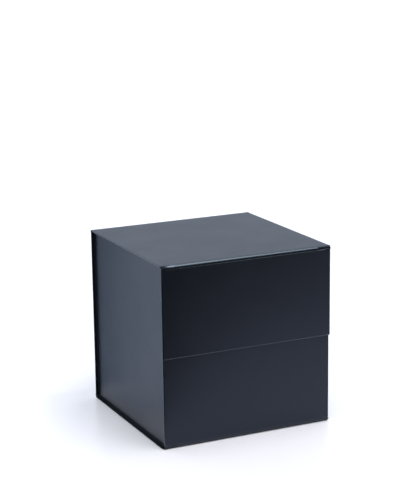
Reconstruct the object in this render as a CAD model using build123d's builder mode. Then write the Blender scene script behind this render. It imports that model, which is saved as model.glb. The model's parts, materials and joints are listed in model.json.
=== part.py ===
"""Folding gift box with a magnetic flap: a strip of five wrapped greyboard panels
(flap, lid, spine, base, front) folded round two side walls.

Millimetres. The origin is the centre of the footprint on the table, +Z is up,
the flap faces -Y and +X is the right-hand side seen from the front.
"""
from build123d import *
from dataclasses import dataclass
import os

os.makedirs("parts", exist_ok=True)

# ---------------------------------------------------------------- driving dimensions
case_width = 180.0        # left to right, over the wrapped case panels
case_depth = 177.5        # outer face of the flap to outer face of the spine
case_height = 180.4       # table to the top of the closed lid
flap_share = 0.502        # part of the height that the closed flap covers

board_thickness = 2.0     # greyboard core of every panel
paper_thickness = 0.15    # one layer of wrapping paper, lining paper or tape
turn_in = 15.0            # wrapping paper folded over onto a panel's inner face

wall_inset = 3.2          # side walls stand this far inside the case's edges
front_trim = 1.1          # the front panel is this much narrower, all of it on its left
crease_radius = 2.6       # outer radius of a folded crease
crease_setback = 3.4      # corner of the case to the end of the board beside a crease
closing_gap = 0.1         # air between the tray and the closed lid or flap

tab_width = 22.0          # corner tab beyond the inner face of its side wall
bottom_tab_width = 18.0   # bottom tab beyond the inner face of its side wall
tape_width = 14.0         # double-sided tape under each corner tab
tape_margin = 4.0         # inner face of the side wall to the edge of the tape
tape_end_margin = 8.0     # tape stops this far short of the tab's two ends

magnet_diameter = 15.0
magnet_thickness = 1.5
pocket_clearance = 0.1    # radial play of a magnet in its pocket
magnet_from_edge = 16.0   # flap's free edge to the magnets' centres

# ---------------------------------------------------------------- derived dimensions
panel_thickness = board_thickness + 2 * paper_thickness
crease_reach = crease_setback - crease_radius

flap_y = -case_depth / 2
front_y = flap_y + panel_thickness + closing_gap
spine_y = case_depth / 2
front_inner_y = front_y + panel_thickness
spine_inner_y = spine_y - panel_thickness

flap_bottom_z = case_height * (1 - flap_share)
tray_top_z = case_height - panel_thickness - closing_gap
wall_bottom_z = panel_thickness + paper_thickness

wall_outer_x = case_width / 2 - wall_inset
wall_inner_x = wall_outer_x - panel_thickness
tab_stack = 2 * paper_thickness
wall_front_y = front_inner_y + tab_stack
wall_rear_y = spine_inner_y - tab_stack
wall_mid_y = (wall_front_y + wall_rear_y) / 2

front_width = case_width - front_trim
front_mid_x = front_trim / 2

magnet_x = case_width / 4
magnet_z = flap_bottom_z + magnet_from_edge
flap_pocket_y = flap_y + paper_thickness + board_thickness - magnet_thickness
front_pocket_y = front_y + paper_thickness


@dataclass
class Panel:
    """A wrapped panel. Its plane lies on the outer face: x runs across the panel,
    y from its first end to its last, and z through it towards the inside."""

    plane: Plane
    width: float
    length: float
    sides_turned: bool = True     # wrapping folds round the two long edges
    end_turned: bool = False      # wrapping folds round the last end
    reach_first: float = 0.0      # wrapping beyond the board, towards the first crease
    reach_last: float = 0.0       # the same beyond the last end


lid = Panel(
    plane=Plane(origin=(0, spine_y - crease_setback, case_height), x_dir=(1, 0, 0), z_dir=(0, 0, -1)),
    width=case_width,
    length=case_depth - 2 * crease_setback,
    reach_last=crease_reach,
)
flap = Panel(
    plane=Plane(origin=(0, flap_y, case_height - crease_setback), x_dir=(1, 0, 0), z_dir=(0, 1, 0)),
    width=case_width,
    length=case_height - crease_setback - flap_bottom_z,
    end_turned=True,
)
spine = Panel(
    plane=Plane(origin=(0, spine_y, crease_setback), x_dir=(1, 0, 0), z_dir=(0, -1, 0)),
    width=case_width,
    length=case_height - 2 * crease_setback,
    reach_first=crease_reach,
    reach_last=crease_reach,
)
base = Panel(
    plane=Plane(origin=(0, front_y + crease_setback, 0), x_dir=(1, 0, 0), z_dir=(0, 0, 1)),
    width=case_width,
    length=spine_y - front_y - 2 * crease_setback,
    reach_first=crease_reach,
    reach_last=crease_reach,
)
front = Panel(
    plane=Plane(origin=(front_mid_x, front_y, crease_setback), x_dir=(-1, 0, 0), z_dir=(0, 1, 0)),
    width=front_width,
    length=tray_top_z - crease_setback,
    end_turned=True,
    reach_first=crease_reach,
)
left_wall = Panel(
    plane=Plane(origin=(-wall_outer_x, wall_mid_y, wall_bottom_z), x_dir=(0, 1, 0), z_dir=(1, 0, 0)),
    width=wall_rear_y - wall_front_y,
    length=tray_top_z - wall_bottom_z,
    sides_turned=False,
    end_turned=True,
)
right_wall = Panel(
    plane=Plane(origin=(wall_outer_x, wall_mid_y, wall_bottom_z), x_dir=(0, -1, 0), z_dir=(-1, 0, 0)),
    width=wall_rear_y - wall_front_y,
    length=tray_top_z - wall_bottom_z,
    sides_turned=False,
    end_turned=True,
)

panels = {
    "lid": lid,
    "flap": flap,
    "spine": spine,
    "base": base,
    "front": front,
    "left_wall": left_wall,
    "right_wall": right_wall,
}
pocket_outer_y = {"flap": flap_pocket_y, "front": front_pocket_y}


def save(name, piece):
    """Label a finished piece and write it as its own STEP file."""
    piece.part.label = name
    export_step(piece.part, f"parts/{name}.step")


def board_edges(panel):
    """Width and length of the greyboard, which the folded paper surrounds."""
    width = panel.width - 2 * paper_thickness * panel.sides_turned
    length = panel.length - paper_thickness * panel.end_turned
    return width, length


def lining_edges(panel):
    """Width and length of the lining, which fills the space between the turn-ins."""
    width = panel.width - 2 * turn_in * panel.sides_turned
    length = panel.length - turn_in * panel.end_turned
    return width, length


# ---------------------------------------------------------------- greyboard cores
def make_board(name, panel):
    width, length = board_edges(panel)
    with BuildPart() as board:
        with BuildSketch(panel.plane.offset(paper_thickness)):
            with Locations((0, length / 2)):
                Rectangle(width, length)
        extrude(amount=board_thickness)
        if name in pocket_outer_y:
            with BuildSketch(Plane.XZ.offset(-pocket_outer_y[name])):
                with Locations((-magnet_x, magnet_z), (magnet_x, magnet_z)):
                    Circle(magnet_diameter / 2 + pocket_clearance)
            extrude(amount=-magnet_thickness, mode=Mode.SUBTRACT)
    save(f"{name}_board", board)


# ---------------------------------------------------------------- wrapping paper
def make_cover(name, panel):
    """Outer sheet, folded edges and turn-ins: the whole panel less its board and lining."""
    board_width, board_length = board_edges(panel)
    lining_width, lining_length = lining_edges(panel)
    sheet_length = panel.reach_first + panel.length + panel.reach_last
    with BuildPart() as cover:
        with BuildSketch(panel.plane):
            with Locations((0, sheet_length / 2 - panel.reach_first)):
                Rectangle(panel.width, sheet_length)
        extrude(amount=paper_thickness)
        with BuildSketch(panel.plane):
            with Locations((0, panel.length / 2)):
                Rectangle(panel.width, panel.length)
        extrude(amount=panel_thickness)
        with BuildSketch(panel.plane.offset(paper_thickness)):
            with Locations((0, board_length / 2)):
                Rectangle(board_width, board_length)
        extrude(amount=board_thickness, mode=Mode.SUBTRACT)
        with BuildSketch(panel.plane.offset(paper_thickness + board_thickness)):
            with Locations((0, lining_length / 2)):
                Rectangle(lining_width, lining_length)
        extrude(amount=paper_thickness, mode=Mode.SUBTRACT)
    save(f"{name}_cover", cover)


# ---------------------------------------------------------------- lining paper
def make_lining(name, panel):
    width, length = lining_edges(panel)
    with BuildPart() as lining:
        with BuildSketch(panel.plane.offset(paper_thickness + board_thickness)):
            with Locations((0, length / 2)):
                Rectangle(width, length)
        extrude(amount=paper_thickness)
    save(f"{name}_lining", lining)


for panel_name, panel_shape in panels.items():
    make_board(panel_name, panel_shape)
    make_cover(panel_name, panel_shape)
    make_lining(panel_name, panel_shape)


# ---------------------------------------------------------------- folded creases
def make_crease(name, corner_y, corner_z, mid_x, width):
    """Cover and lining glued together round a corner of the case, as a quarter ring."""
    outward_y = 1 if corner_y > 0 else -1
    outward_z = 1 if corner_z > case_height / 2 else -1
    centre = (mid_x, corner_y - outward_y * crease_radius, corner_z - outward_z * crease_radius)
    ring_plane = Plane(origin=centre, x_dir=(0, outward_y, 0), z_dir=(outward_y * outward_z, 0, 0))
    with BuildPart() as crease:
        with BuildSketch(ring_plane):
            Circle(crease_radius)
            Circle(crease_radius - 2 * paper_thickness, mode=Mode.SUBTRACT)
            Rectangle(
                crease_radius,
                crease_radius,
                align=(Align.MIN, Align.MIN),
                mode=Mode.INTERSECT,
            )
        extrude(amount=width / 2, both=True)
    save(name, crease)


make_crease("lid_crease", spine_y, case_height, 0, case_width)
make_crease("flap_crease", flap_y, case_height, 0, case_width)
make_crease("rear_base_crease", spine_y, 0, 0, case_width)
make_crease("front_base_crease", front_y, 0, front_mid_x, front_width)


# ---------------------------------------------------------------- corner tabs and tape
def make_corner_tab(name, side, glued_y, inward_y):
    """Paper tab that runs from a side wall's end onto the inner face of the next panel,
    and the double-sided tape under it. side is -1 on the left and 1 on the right."""
    tab_height = tray_top_z - wall_bottom_z
    tab_mid_z = (tray_top_z + wall_bottom_z) / 2
    tab_length = panel_thickness + tab_width
    tab_mid_x = side * (wall_outer_x - tab_length / 2)
    tape_mid_x = side * (wall_inner_x - tape_margin - tape_width / 2)
    with BuildPart() as tape:
        with BuildSketch(Plane.XZ.offset(-glued_y)):
            with Locations((tape_mid_x, tab_mid_z)):
                Rectangle(tape_width, tab_height - 2 * tape_end_margin)
        extrude(amount=-inward_y * paper_thickness)
    save(f"{name}_tape", tape)
    with BuildPart() as tab:
        with BuildSketch(Plane.XZ.offset(-(glued_y + inward_y * paper_thickness))):
            with Locations((tab_mid_x, tab_mid_z)):
                Rectangle(tab_length, tab_height)
        extrude(amount=-inward_y * paper_thickness)
    save(f"{name}_tab", tab)


make_corner_tab("front_left", -1, front_inner_y, 1)
make_corner_tab("front_right", 1, front_inner_y, 1)
make_corner_tab("rear_left", -1, spine_inner_y, -1)
make_corner_tab("rear_right", 1, spine_inner_y, -1)


# ---------------------------------------------------------------- bottom tabs
def make_bottom_tab(name, side):
    """Paper tab that runs from under a side wall onto the floor of the box."""
    tab_length = panel_thickness + bottom_tab_width
    with BuildPart() as tab:
        with BuildSketch(Plane.XY.offset(panel_thickness)):
            with Locations((side * (wall_outer_x - tab_length / 2), wall_mid_y)):
                Rectangle(tab_length, wall_rear_y - wall_front_y)
        extrude(amount=paper_thickness)
    save(f"{name}_bottom_tab", tab)


make_bottom_tab("left", -1)
make_bottom_tab("right", 1)


# ---------------------------------------------------------------- magnets
for panel_name, pocket_y in pocket_outer_y.items():
    for side_name, centre_x in (("left", -magnet_x), ("right", magnet_x)):
        with BuildPart() as magnet:
            with BuildSketch(Plane.XZ.offset(-pocket_y)):
                with Locations((centre_x, magnet_z)):
                    Circle(magnet_diameter / 2)
            extrude(amount=-magnet_thickness)
        save(f"{panel_name}_magnet_{side_name}", magnet)
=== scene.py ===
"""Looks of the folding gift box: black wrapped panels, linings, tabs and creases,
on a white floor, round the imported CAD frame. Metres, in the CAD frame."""
import json
import math

import bpy
from mathutils import Matrix, Vector


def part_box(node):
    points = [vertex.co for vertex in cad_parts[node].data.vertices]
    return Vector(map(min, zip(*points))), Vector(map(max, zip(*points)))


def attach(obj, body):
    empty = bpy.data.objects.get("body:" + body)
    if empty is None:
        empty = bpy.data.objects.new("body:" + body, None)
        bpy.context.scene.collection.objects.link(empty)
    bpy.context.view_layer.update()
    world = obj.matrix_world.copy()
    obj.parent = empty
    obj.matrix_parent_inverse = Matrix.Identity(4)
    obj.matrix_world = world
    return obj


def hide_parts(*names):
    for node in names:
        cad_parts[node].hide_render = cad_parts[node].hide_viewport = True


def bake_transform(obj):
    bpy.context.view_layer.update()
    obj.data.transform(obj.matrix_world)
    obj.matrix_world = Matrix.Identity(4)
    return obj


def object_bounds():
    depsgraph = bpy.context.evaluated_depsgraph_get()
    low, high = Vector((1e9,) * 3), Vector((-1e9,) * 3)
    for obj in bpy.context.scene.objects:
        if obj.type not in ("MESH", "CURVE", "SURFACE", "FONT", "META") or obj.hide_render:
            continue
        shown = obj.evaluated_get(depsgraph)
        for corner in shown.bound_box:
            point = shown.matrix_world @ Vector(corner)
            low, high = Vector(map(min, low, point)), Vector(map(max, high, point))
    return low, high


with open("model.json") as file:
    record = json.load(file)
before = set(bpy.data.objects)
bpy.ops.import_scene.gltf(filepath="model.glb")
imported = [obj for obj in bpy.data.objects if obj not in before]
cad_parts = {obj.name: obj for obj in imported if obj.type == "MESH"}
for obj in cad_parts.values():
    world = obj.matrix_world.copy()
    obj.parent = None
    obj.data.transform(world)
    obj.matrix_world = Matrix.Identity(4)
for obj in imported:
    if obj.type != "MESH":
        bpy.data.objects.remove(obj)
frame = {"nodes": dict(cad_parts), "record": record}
cad_low, cad_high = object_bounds()

MM = 0.001
RIGHT, BACK, UP = Vector((1, 0, 0)), Vector((0, 1, 0)), Vector((0, 0, 1))

# ---------------------------------------------------------------- sizes
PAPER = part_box("lid_cover")[1].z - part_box("lid_board")[1].z
EDGE_RADIUS = 1.0 * MM          # paper drawn round the edge of a board
TURN_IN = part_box("lid_lining")[0].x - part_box("lid_cover")[0].x
LINING_MARGIN = 2.5 * MM        # bare turn-in between a panel's edge and its lining
TELEGRAPH = 0.07 * MM           # step in the lining where the turn-ins end beneath it
LINING_PROUD = 0.10 * MM        # lining above the turn-ins
CREASE_PAPER = 0.4 * MM         # cover and lining glued together
CREASE_DIP = 0.18 * MM          # groove beside each board end
CREASE_TUCK = 1.2 * MM          # crease paper that reaches in under the wrapping
CREASE_DRAWN_IN = 0.75 * MM     # how much narrower it is there, at each end
DRAW_START = 0.2 * MM           # the narrowing starts this far before the board
CREASE_SLACK = 0.2 * MM         # a crease's rounding is this much less than its setback
LID_ROUNDING = 2.0 * MM         # the lid's is tighter, so that its length changes less as it bends
CREASE_SPANS = 12               # spans across the width of a crease
TAIL_STEPS = 8                  # steps along each flat end of its outline
ARC_STEPS = 16                  # steps round its quarter circle
EASE = 0.8 * MM                 # a groove, a step or a change of width fades over this length
LINING_HALF = 0.06 * MM         # half the thickness of a lining sheet
LINING_EDGE = 0.05 * MM         # rounding of its edges
BARE_SIDE = 0.3 * MM            # bare strip beside the lining where a side isn't turned in
BARE_END = 0.6 * MM             # bare strip at an end that isn't turned in
CORE_GAP = 0.005 * MM           # between a core and the wrapping round it
BURNISHED_BELOW = 0.97          # faces tilted past this cosine from the panel's plane are burnished
SHADE_PAINT_BELOW = 0.5              # faces tilted past this cosine from its outside get painted shade, on the spine and the base
TAB_CUT = 5 * MM                # corner cut off a tab
TAB_TRIM = 1.2 * MM             # each tab is cut a little shorter than its wall
FLOOR_DROP = 0.05 * MM          # the floor lies this far below the box
CARD_LIFT = 1 * MM              # height of the two level reflection cards
REAR_CARD_BACK = 0.12           # place of the upright one, along BACK
BODY_OF = {n: b for b, nodes in frame["record"]["behaviour"]["bodies"].items() for n in nodes}


# ---------------------------------------------------------------- materials
def new_material(name, roughness, specular_tint=(1, 1, 1), ior=1.5):
    material = bpy.data.materials.new(name)
    material.use_nodes = True
    shader = material.node_tree.nodes["Principled BSDF"]
    shader.inputs["Roughness"].default_value = roughness
    shader.inputs["IOR"].default_value = ior
    shader.inputs["Specular Tint"].default_value = (*specular_tint, 1)
    return material, shader


def noise(material, scale, detail=2.0, rough=0.5, stretch=(1, 1, 1)):
    """Noise over the object's own coordinates; scale is in cycles per metre."""
    nodes, links = material.node_tree.nodes, material.node_tree.links
    place = nodes.new("ShaderNodeTexCoord")
    mapping = nodes.new("ShaderNodeMapping")
    mapping.inputs["Scale"].default_value = stretch
    texture = nodes.new("ShaderNodeTexNoise")
    texture.inputs["Scale"].default_value = scale
    texture.inputs["Detail"].default_value = detail
    texture.inputs["Roughness"].default_value = rough
    links.new(place.outputs["Object"], mapping.inputs["Vector"])
    links.new(mapping.outputs["Vector"], texture.inputs["Vector"])
    return texture.outputs["Fac"]


def ramp(material, factor, stops):
    nodes, links = material.node_tree.nodes, material.node_tree.links
    node = nodes.new("ShaderNodeValToRGB")
    node.color_ramp.elements[0].position = stops[0][0]
    node.color_ramp.elements[0].color = (*stops[0][1], 1)
    node.color_ramp.elements[1].position = stops[1][0]
    node.color_ramp.elements[1].color = (*stops[1][1], 1)
    for position, colour in stops[2:]:
        node.color_ramp.elements.new(position).color = (*colour, 1)
    links.new(factor, node.inputs["Fac"])
    return node.outputs["Color"]


def spread(material, factor, low, high):
    """Maps a noise's middle range to low..high."""
    nodes, links = material.node_tree.nodes, material.node_tree.links
    node = nodes.new("ShaderNodeMapRange")
    node.inputs["From Min"].default_value = 0.3
    node.inputs["From Max"].default_value = 0.7
    node.inputs["To Min"].default_value = low
    node.inputs["To Max"].default_value = high
    links.new(factor, node.inputs["Value"])
    return node.outputs["Result"]


def bumps(material, shader, layers):
    """Chains bump layers of (height, strength, distance in metres)."""
    nodes, links = material.node_tree.nodes, material.node_tree.links
    normal = None
    for height, strength, distance in layers:
        bump = nodes.new("ShaderNodeBump")
        bump.inputs["Strength"].default_value = strength
        bump.inputs["Distance"].default_value = distance
        links.new(height, bump.inputs["Height"])
        if normal:
            links.new(normal, bump.inputs["Normal"])
        normal = bump.outputs["Normal"]
    links.new(normal, shader.inputs["Normal"])


def soft_touch_black():
    """Black paper under a matte soft-touch film: fine tooth, slow waves and a faint bloom."""
    material, shader = new_material("soft_touch_black", 0.42, (0.63, 0.735, 1.0), 1.57)
    links = material.node_tree.links
    tooth = noise(material, 2600, 3)
    cloud = noise(material, 26, 4)
    wave = noise(material, 16, 1)
    dark, pale = (0.0012, 0.0017, 0.0026), (0.0020, 0.0027, 0.0040)
    colour = ramp(material, cloud, [(0.3, dark), (0.7, pale)])
    links.new(colour, shader.inputs["Base Color"])
    links.new(spread(material, cloud, 0.36, 0.40), shader.inputs["Roughness"])
    bumps(material, shader, [(wave, 0.35, 0.12 * MM), (tooth, 0.22, 0.02 * MM)])
    return material


def burnished_black():
    """The same paper where it is stretched round an edge or a crease, smoother and glossier."""
    material, shader = new_material("burnished_black", 0.25, (0.68, 0.84, 1.0), 1.8)
    links = material.node_tree.links
    tooth = noise(material, 2600, 3)
    mottle = noise(material, 120, 5, 0.6)
    dark, pale = (0.0014, 0.0020, 0.0030), (0.0040, 0.0050, 0.0065)
    colour = ramp(material, mottle, [(0.45, dark), (0.75, pale)])
    links.new(colour, shader.inputs["Base Color"])
    links.new(spread(material, mottle, 0.22, 0.28), shader.inputs["Roughness"])
    bumps(material, shader, [(tooth, 0.15, 0.015 * MM)])
    return material


def painted_shade_black():
    """Painted shade: the same paper, darker and with almost no reflection, on the spine and the base
    everywhere but their outside faces, so that their edges read as shaded.
    """
    material, shader = new_material("painted_shade_black", 0.7, (0.62, 0.80, 1.0))
    links = material.node_tree.links
    tooth = noise(material, 2600, 3)
    mottle = noise(material, 60, 4)
    colour = ramp(material, mottle, [(0.3, (0.002, 0.0025, 0.0035)), (0.7, (0.004, 0.005, 0.006))])
    links.new(colour, shader.inputs["Base Color"])
    # almost no reflection: this is what paints the shade on these edges
    shader.inputs["Specular IOR Level"].default_value = 0.12
    bumps(material, shader, [(tooth, 0.3, 0.03 * MM)])
    return material


def lining_black():
    """Uncoated black lining paper with visible fibres."""
    material, shader = new_material("lining_black", 0.62, (0.66, 0.82, 1.0))
    links = material.node_tree.links
    fibre = noise(material, 900, 6, 0.65, (1, 1, 0.35))
    tooth = noise(material, 3500, 3)
    cloud = noise(material, 40, 4)
    dark, pale = (0.0055, 0.0068, 0.0090), (0.0120, 0.0145, 0.0185)
    colour = ramp(material, fibre, [(0.35, dark), (0.72, pale)])
    links.new(colour, shader.inputs["Base Color"])
    links.new(spread(material, cloud, 0.56, 0.66), shader.inputs["Roughness"])
    bumps(material, shader, [(fibre, 0.3, 0.04 * MM), (tooth, 0.3, 0.03 * MM)])
    return material


def raw_greyboard():
    material, shader = new_material("raw_greyboard", 0.9)
    links = material.node_tree.links
    fibre = noise(material, 700, 6, 0.7, (0.3, 1, 1))
    speck = noise(material, 1500, 2)
    colour = ramp(material, fibre, [(0.3, (0.22, 0.20, 0.175)), (0.7, (0.36, 0.335, 0.30))])
    links.new(colour, shader.inputs["Base Color"])
    links.new(spread(material, speck, 0.85, 0.95), shader.inputs["Roughness"])
    bumps(material, shader, [(fibre, 0.5, 0.08 * MM), (speck, 0.3, 0.03 * MM)])
    return material


def clear_tape():
    material, shader = new_material("clear_tape", 0.3)
    links = material.node_tree.links
    streak = noise(material, 300, 3, 0.5, (1, 1, 0.1))
    colour = ramp(material, streak, [(0.3, (0.62, 0.61, 0.57)), (0.7, (0.74, 0.73, 0.69))])
    links.new(colour, shader.inputs["Base Color"])
    bumps(material, shader, [(streak, 0.2, 0.02 * MM)])
    return material


def nickel():
    material, shader = new_material("nickel", 0.28)
    links = material.node_tree.links
    shader.inputs["Metallic"].default_value = 1.0
    scratch = noise(material, 1800, 3, 0.6, (1, 1, 0.08))
    colour = ramp(material, scratch, [(0.3, (0.52, 0.51, 0.49)), (0.7, (0.64, 0.63, 0.61))])
    links.new(colour, shader.inputs["Base Color"])
    links.new(spread(material, scratch, 0.22, 0.36), shader.inputs["Roughness"])
    return material


def white_floor():
    material, shader = new_material("white_floor", 0.3)
    links = material.node_tree.links
    cloud = noise(material, 3, 2)
    colour = ramp(material, cloud, [(0.3, (0.83, 0.82, 0.83)), (0.7, (0.85, 0.84, 0.85))])
    links.new(colour, shader.inputs["Base Color"])
    shader.inputs["Specular IOR Level"].default_value = 0.45
    return material


WRAP = soft_touch_black()
BURNISHED = burnished_black()
SHADE_PAINT = painted_shade_black()
LINING = lining_black()
GREYBOARD = raw_greyboard()
TAPE = clear_tape()
NICKEL = nickel()
FLOOR = white_floor()


# ---------------------------------------------------------------- mesh building
def add_piece(name, points, faces, material, replaced, body=None, normals=None):
    mesh = bpy.data.meshes.new(name)
    mesh.from_pydata([tuple(p) for p in points], [], faces)
    mesh.materials.append(material)
    mesh.shade_smooth()
    if normals:
        mesh.normals_split_custom_set_from_vertices([tuple(n) for n in normals])
    piece = bpy.data.objects.new(name, mesh)
    bpy.context.scene.collection.objects.link(piece)
    if replaced:
        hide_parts(*replaced)
    if body:
        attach(piece, body)
    return piece


def grid_lines(half, radius, arc_steps, extra):
    """Places of the grid lines along one axis of a rounded slab, from -half to half."""
    inner = half - radius
    arc = [inner + radius * math.tan(math.pi / 4 * k / arc_steps) for k in range(1, arc_steps + 1)]
    flat = sorted({-inner, inner, *[x for x in extra if abs(x) < inner]})
    return [-a for a in reversed(arc)] + flat + arc


def rounded_slab(half, radius, arc_steps=5, extra_x=(), extra_y=()):
    """Points, faces and normals of a closed slab whose edges are all rounded."""
    extras = (extra_x, extra_y, ())
    lines = [grid_lines(half[i], radius, arc_steps, extras[i]) for i in range(3)]
    inner = [half[i] - radius for i in range(3)]
    points, normals, faces, known = [], [], [], {}

    def corner(p):
        core = [max(-inner[i], min(inner[i], p[i])) for i in range(3)]
        normal = Vector([p[i] - core[i] for i in range(3)]).normalized()
        place = Vector(core) + normal * radius
        key = tuple(round(c * 1e9) for c in place)
        if key not in known:
            known[key] = len(points)
            points.append(place)
            normals.append(normal)
        return known[key]

    for axis in range(3):
        first, second = [i for i in range(3) if i != axis]
        for side in (-1, 1):
            for a0, a1 in zip(lines[first], lines[first][1:]):
                for b0, b1 in zip(lines[second], lines[second][1:]):
                    quad = []
                    for a, b in ((a0, b0), (a1, b0), (a1, b1), (a0, b1)):
                        p = [0, 0, 0]
                        p[axis], p[first], p[second] = side * half[axis], a, b
                        quad.append(corner(p))
                    turned = (side > 0) == (axis != 1)
                    faces.append(quad if turned else quad[::-1])
    return points, faces, normals


def flip(faces, offset):
    return [[offset + i for i in reversed(f)] for f in faces]


# ---------------------------------------------------------------- wrapped panels
def reach(node, direction):
    """Lowest and highest place of a node along an axis direction."""
    low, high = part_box(node)
    ends = sorted((low.dot(direction), high.dot(direction)))
    return ends[0], ends[1]


def steps(half, count):
    return [half * (2 * k / count - 1) for k in range(1, count)]


def wrapped_panel(name, across, along, inward, sides_turned=True, end_turned=False, shade_edges=False):
    """The wrapping, core and lining of one panel. across x along = inward."""
    cover, board, lining = f"{name}_cover", f"{name}_board", f"{name}_lining"
    body = BODY_OF[board]
    x0, x1 = reach(cover, across)
    y0 = reach(board, along)[0]
    y1 = reach(cover if end_turned else board, along)[1]
    z0, z1 = reach(cover, inward)
    z1 -= LINING_PROUD
    centre = across * (x0 + x1) / 2 + along * (y0 + y1) / 2 + inward * (z0 + z1) / 2
    to_world = Matrix.Translation(centre) @ Matrix((across, along, inward)).transposed().to_4x4()
    turn = to_world.to_3x3()
    half = [(x1 - x0) / 2, (y1 - y0) / 2, (z1 - z0) / 2]

    def placed(points, normals):
        return [to_world @ p for p in points], [turn @ n for n in normals]

    # wrapping: outer skin and the inner skin against the core
    extra_x, extra_y = steps(half[0], 12), steps(half[1], 12)
    points, faces, normals = rounded_slab(half, EDGE_RADIUS, 6, extra_x, extra_y)
    inside = [h - PAPER for h in half]
    in_points, in_faces, in_normals = rounded_slab(inside, EDGE_RADIUS - PAPER, 4)
    faces += flip(in_faces, len(points))
    points, normals = placed(points + in_points, normals + [-n for n in in_normals])
    wrap = add_piece(f"{name}_wrap", points, faces, WRAP, [cover], body, normals)
    # the spine's and the base's edges get painted shade; the other panels' edges get the glossier paper
    wrap.data.materials.append(SHADE_PAINT if shade_edges else BURNISHED)
    for face in wrap.data.polygons:
        flatness = -face.normal.dot(inward)
        edge = flatness < SHADE_PAINT_BELOW if shade_edges else abs(flatness) < BURNISHED_BELOW
        face.material_index = 1 if edge else 0

    # greyboard core
    core_half = [h - PAPER - CORE_GAP for h in half]
    points, faces, normals = rounded_slab(core_half, EDGE_RADIUS - PAPER, 4)
    points, normals = placed(points, normals)
    add_piece(f"{name}_core", points, faces, GREYBOARD, [board], body, normals)

    # lining sheet, which sinks a little where the turn-ins beneath it end
    side_gap = LINING_MARGIN if sides_turned else BARE_SIDE
    end_gap = LINING_MARGIN if end_turned else BARE_END
    lining_x = half[0] - side_gap
    lining_y = half[1] - (BARE_END + end_gap) / 2
    shift_y = (BARE_END - end_gap) / 2
    fold_x = half[0] - TURN_IN if sides_turned else 2 * half[0]
    fold_y = half[1] - TURN_IN - shift_y if end_turned else 2 * half[1]
    lines_x = steps(lining_x, 10) + [s * (fold_x + d) for s in (-1, 1) for d in (-EASE, 0, EASE)]
    lines_y = steps(lining_y, 10) + [fold_y + d for d in (-EASE, 0, EASE)]
    lining_half = [lining_x, lining_y, LINING_HALF]
    points, faces, normals = rounded_slab(lining_half, LINING_EDGE, 2, lines_x, lines_y)
    for p in points:
        over_x = smooth((fold_x + EASE - abs(p.x)) / (2 * EASE))
        over_y = smooth((fold_y + EASE - p.y) / (2 * EASE))
        p.z += half[2] + LINING_PROUD - LINING_HALF - TELEGRAPH * over_x * over_y
        p.y += shift_y
    points, normals = placed(points, normals)
    add_piece(f"{name}_lining_sheet", points, faces, LINING, [lining], body, normals)


def smooth(t):
    t = max(0.0, min(1.0, t))
    return t * t * (3 - 2 * t)


wrapped_panel("lid", RIGHT, -BACK, -UP)
wrapped_panel("flap", RIGHT, -UP, BACK, end_turned=True)
# the spine and the base: their edges are painted with shade
wrapped_panel("spine", RIGHT, UP, -BACK, shade_edges=True)
wrapped_panel("base", RIGHT, BACK, UP, shade_edges=True)
wrapped_panel("front", -RIGHT, UP, BACK, end_turned=True)
wrapped_panel("left_wall", BACK, UP, RIGHT, sides_turned=False, end_turned=True)
wrapped_panel("right_wall", -BACK, UP, -RIGHT, sides_turned=False, end_turned=True)


# ---------------------------------------------------------------- creases
def quarter_arc(centre, radius):
    """Points of a quarter circle about (centre, centre), without its two ends."""
    angles = [math.pi / 2 * k / ARC_STEPS for k in range(1, ARC_STEPS)]
    return [(centre - radius * math.sin(a), centre - radius * math.cos(a)) for a in angles]


def crease_profile(setback, radius):
    """Outer and inner outline of a crease from one board to the next, as (along the first
    panel, along the second panel) from the corner of the case."""
    floor_depth = 0.08 * MM
    centre = radius + floor_depth
    tail = []
    for k in range(TAIL_STEPS + 1):
        u = setback + CREASE_TUCK - (setback + CREASE_TUCK - centre) * k / TAIL_STEPS
        depth = floor_depth + (CREASE_DIP - floor_depth) * smooth((u - centre) / EASE)
        tail.append((u, depth))
    outer = tail + quarter_arc(centre, radius) + [(d, u) for u, d in reversed(tail)]
    inner_tail = [(u, d + CREASE_PAPER) for u, d in tail]
    inner_arc = quarter_arc(centre, radius - CREASE_PAPER)
    inner = inner_tail + inner_arc + [(d, u) for u, d in reversed(inner_tail)]
    return outer, inner


def crease(name, node, corner, first, second, x0, x1, setback, radius, paper):
    """Crease paper as one closed strip. first and second point from the corner along the panels."""
    outer, inner = crease_profile(setback, radius)
    loop = outer + inner[::-1]
    middle, half_width = (x0 + x1) / 2, (x1 - x0) / 2
    points = []
    for k in range(CREASE_SPANS + 1):
        share = 2 * k / CREASE_SPANS - 1
        for u, v in loop:
            # drawn in where it passes under the wrapping, to stay inside the rounded side edges
            tucked = smooth((max(u, v) - setback + DRAW_START) / EASE)
            x = middle + share * (half_width - CREASE_DRAWN_IN * tucked)
            points.append(RIGHT * x + corner + first * u + second * v)
    count = len(loop)
    faces = []
    for s in range(CREASE_SPANS):
        for k in range(count):
            a, b = s * count + k, s * count + (k + 1) % count
            faces.append([a, b, b + count, a + count])
    half = len(outer)
    last = CREASE_SPANS * count
    for k in range(half - 1):
        faces.append([k + 1, k, count - 1 - k, count - 2 - k])
        faces.append([last + k, last + k + 1, last + count - 2 - k, last + count - 1 - k])
    if first.cross(second).dot(RIGHT) > 0:
        faces = [f[::-1] for f in faces]
    piece = add_piece(name, points, faces, paper, [node])
    piece.data.materials.append(LINING)
    for face in piece.data.polygons:
        face.material_index = 1 if face.index < last and face.index % count >= half else 0
    return piece


def case_corner(y, z):
    return BACK * y + UP * z


case_left, case_right = cad_low.x, cad_high.x
front_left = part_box("front_cover")[0].x
front_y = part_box("front_cover")[0].y
setback = cad_high.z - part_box("spine_board")[1].z       # from the case's corner to a board
rounding = setback - CREASE_SLACK

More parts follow.
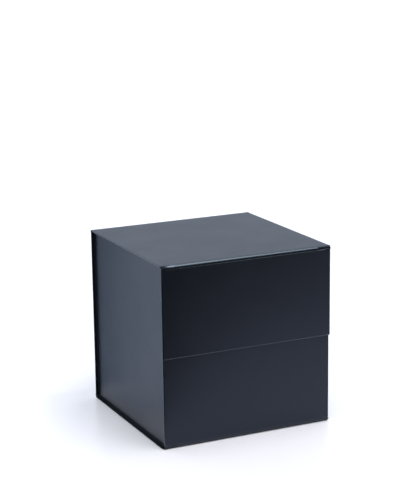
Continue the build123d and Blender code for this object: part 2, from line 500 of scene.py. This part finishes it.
lid_corner = case_corner(cad_high.y, cad_high.z)
lid_crease = crease(
    "lid_crease_paper", "lid_crease", lid_corner, -UP, -BACK,
    case_left, case_right, setback, LID_ROUNDING, BURNISHED)
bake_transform(lid_crease)

flap_corner = case_corner(cad_low.y, cad_high.z)
flap_crease = crease(
    "flap_crease_paper", "flap_crease", flap_corner, BACK, -UP,
    case_left, case_right, setback, rounding, BURNISHED)
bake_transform(flap_crease)

rear_corner = case_corner(cad_high.y, cad_low.z)
rear_crease = crease(
    "rear_base_crease_paper", "rear_base_crease", rear_corner, -BACK, UP,
    case_left, case_right, setback, rounding, WRAP)
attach(rear_crease, "tray")

front_corner = case_corner(front_y, cad_low.z)
front_crease = crease(
    "front_base_crease_paper", "front_base_crease", front_corner, UP, BACK,
    front_left, case_right, setback, rounding, WRAP)
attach(front_crease, "tray")


# ---------------------------------------------------------------- tabs
def cut_tab(node, tip, rise, thick):
    """Paper tab with its free corners cut off. It reaches out along tip, and rise runs along its fold."""
    t0, t1 = reach(node, tip)
    r0, r1 = reach(node, rise)
    h0, h1 = reach(node, thick)
    r0, r1 = r0 + TAB_TRIM, r1 - TAB_TRIM
    outline = [(t0, r0), (t1 - TAB_CUT, r0), (t1, r0 + 2 * TAB_CUT)]
    outline += [(t1, r1 - 2 * TAB_CUT), (t1 - TAB_CUT, r1), (t0, r1)]
    points = [tip * t + rise * r + thick * h for h in (h0, h1) for t, r in outline]
    n = len(outline)
    faces = [list(range(n))[::-1], list(range(n, 2 * n))]
    faces += [[k, (k + 1) % n, n + (k + 1) % n, n + k] for k in range(n)]
    if tip.cross(rise).dot(thick) < 0:
        faces = [f[::-1] for f in faces]
    piece = add_piece(f"{node}_paper", points, faces, LINING, [node], BODY_OF[node])
    piece.data.shade_flat()


for side, inward in (("left", RIGHT), ("right", -RIGHT)):
    cut_tab(f"front_{side}_tab", inward, UP, BACK)
    cut_tab(f"rear_{side}_tab", inward, UP, BACK)
    cut_tab(f"{side}_bottom_tab", inward, BACK, UP)

for node, thing in frame["nodes"].items():
    if node.endswith("_tape"):
        thing.data.materials.clear()
        thing.data.materials.append(TAPE)
    elif "_magnet_" in node:
        thing.data.materials.clear()
        thing.data.materials.append(NICKEL)


# ---------------------------------------------------------------- floor, lights and camera
bpy.context.scene.view_settings.view_transform = "Standard"

bpy.ops.mesh.primitive_plane_add(size=40, location=(0, 0, -FLOOR_DROP))
floor = bpy.context.object
floor.name = "floor"
floor.data.materials.append(FLOOR)

world = bpy.data.worlds.new("studio")
bpy.context.scene.world = world
world.use_nodes = True


def studio_patch(name, towards, inner, outer, colour, strength):
    """A soft round light in the surroundings: full inside the inner angle, gone at the outer one."""
    nodes, links = world.node_tree.nodes, world.node_tree.links
    place = nodes.new("ShaderNodeTexCoord")
    dot = nodes.new("ShaderNodeVectorMath")
    dot.operation = "DOT_PRODUCT"
    dot.inputs[1].default_value = Vector(towards).normalized()
    fade = nodes.new("ShaderNodeMapRange")
    fade.interpolation_type = "SMOOTHSTEP"
    fade.inputs["From Min"].default_value = math.cos(math.radians(outer))
    fade.inputs["From Max"].default_value = math.cos(math.radians(inner))
    fade.inputs["To Max"].default_value = strength
    glow = nodes.new("ShaderNodeBackground")
    glow.name = name
    glow.inputs["Color"].default_value = (*colour, 1)
    links.new(place.outputs["Generated"], dot.inputs[0])
    links.new(dot.outputs["Value"], fade.inputs["Value"])
    links.new(fade.outputs["Result"], glow.inputs["Strength"])
    total = world.node_tree.nodes["World Output"].inputs["Surface"]
    both = nodes.new("ShaderNodeAddShader")
    links.new(total.links[0].from_socket, both.inputs[0])
    links.new(glow.outputs["Background"], both.inputs[1])
    links.new(both.outputs["Shader"], total)


def plain_backdrop():
    """The camera sees plain white past the floor, whatever the lights are."""
    nodes, links = world.node_tree.nodes, world.node_tree.links
    total = nodes["World Output"].inputs["Surface"]
    path = nodes.new("ShaderNodeLightPath")
    white = nodes.new("ShaderNodeBackground")
    white.inputs["Color"].default_value = (1, 1, 1, 1)
    choose = nodes.new("ShaderNodeMixShader")
    links.new(path.outputs["Is Camera Ray"], choose.inputs["Fac"])
    links.new(total.links[0].from_socket, choose.inputs[1])
    links.new(white.outputs["Background"], choose.inputs[2])
    links.new(choose.outputs["Shader"], total)


world.node_tree.nodes["Background"].inputs["Color"].default_value = (0.8, 0.9, 1.0, 1)
world.node_tree.nodes["Background"].inputs["Strength"].default_value = 0.06
studio_patch("overhead", (0.06, -0.26, 0.95), 12, 38, (0.975, 0.985, 1.035), 5.6)
studio_patch("backdrop", (0.25, 1.0, 0.35), 40, 75, (0.84, 0.95, 1.10), 0.82)
studio_patch("left_fill", (-1.0, 0.1, 0.3), 35, 70, (0.88, 0.95, 1.05), 0.2)
plain_backdrop()


def reflection_card(name, corners, passes=(0, 0, 0)):
    """Card that only reflections see, from its front side, as a flag or a gel dims part of a face.
    passes is the share of red, green and blue light that still gets through."""
    mesh = bpy.data.meshes.new(name)
    mesh.from_pydata(corners, [], [list(range(len(corners)))])
    material = bpy.data.materials.new(name)
    material.use_nodes = True
    nodes, links = material.node_tree.nodes, material.node_tree.links
    nodes.remove(nodes["Principled BSDF"])
    side = nodes.new("ShaderNodeNewGeometry")
    tint = nodes.new("ShaderNodeMix")
    tint.data_type = "RGBA"
    # a Mix node's sockets 6 and 7 are its two colours, and its output 2 is the mixed colour
    tint.inputs[6].default_value = (*passes, 1)
    tint.inputs[7].default_value = (1, 1, 1, 1)
    clear = nodes.new("ShaderNodeBsdfTransparent")
    links.new(side.outputs["Backfacing"], tint.inputs["Factor"])
    links.new(tint.outputs[2], clear.inputs["Color"])
    links.new(clear.outputs["BSDF"], nodes["Material Output"].inputs["Surface"])
    mesh.materials.append(material)
    card = bpy.data.objects.new(name, mesh)
    bpy.context.scene.collection.objects.link(card)
    card.visible_camera = False
    card.visible_shadow = False
    card.visible_diffuse = False


front_outline = [(-3, -0.09), (-3, -4), (3, -4), (3, -0.58), (0.4, -0.53), (0.16, -0.44)]
front_outline += [(0.02, -0.285), (-0.1, -0.108)]
reflection_card("front_card", [(x, y, CARD_LIFT) for x, y in front_outline])
rear_outline = [(-0.137, 0), (-0.085, 0), (-0.085, 0.17), (-0.137, 0.17)]
reflection_card("rear_card", [(x, REAR_CARD_BACK, z) for x, z in rear_outline], (0.52, 0.55, 0.60))
left_outline = [(-0.1, 0.0), (-0.1, 3), (-3, 3), (-3, 0.0)]
reflection_card("left_card", [(x, y, CARD_LIFT) for x, y in left_outline], (0.77, 0.835, 0.91))

# the camera's place in metres and its aim
CAMERA_PLACE = Vector((-0.6407, -1.3465, 0.5264))
CAMERA_AZIMUTH, CAMERA_TILT, CAMERA_ROLL = (math.radians(a) for a in (25.385, 13.539, -0.762))
FOCAL_LENGTH, SENSOR = 110.66, 36.0

camera_data = bpy.data.cameras.new("camera")
camera = bpy.data.objects.new("camera", camera_data)
bpy.context.scene.collection.objects.link(camera)
bpy.context.scene.camera = camera
camera_data.sensor_width = SENSOR
camera_data.lens = FOCAL_LENGTH
camera_data.clip_start = 0.05
camera_data.clip_end = 100
look = Vector((
    math.sin(CAMERA_AZIMUTH) * math.cos(CAMERA_TILT),
    math.cos(CAMERA_AZIMUTH) * math.cos(CAMERA_TILT),
    -math.sin(CAMERA_TILT),
))
level = Vector((math.cos(CAMERA_AZIMUTH), -math.sin(CAMERA_AZIMUTH), 0))
above = level.cross(look)
right = level * math.cos(CAMERA_ROLL) + above * math.sin(CAMERA_ROLL)
top = above * math.cos(CAMERA_ROLL) - level * math.sin(CAMERA_ROLL)
camera.location = CAMERA_PLACE
camera.rotation_euler = Matrix((right, top, -look)).transposed().to_euler()
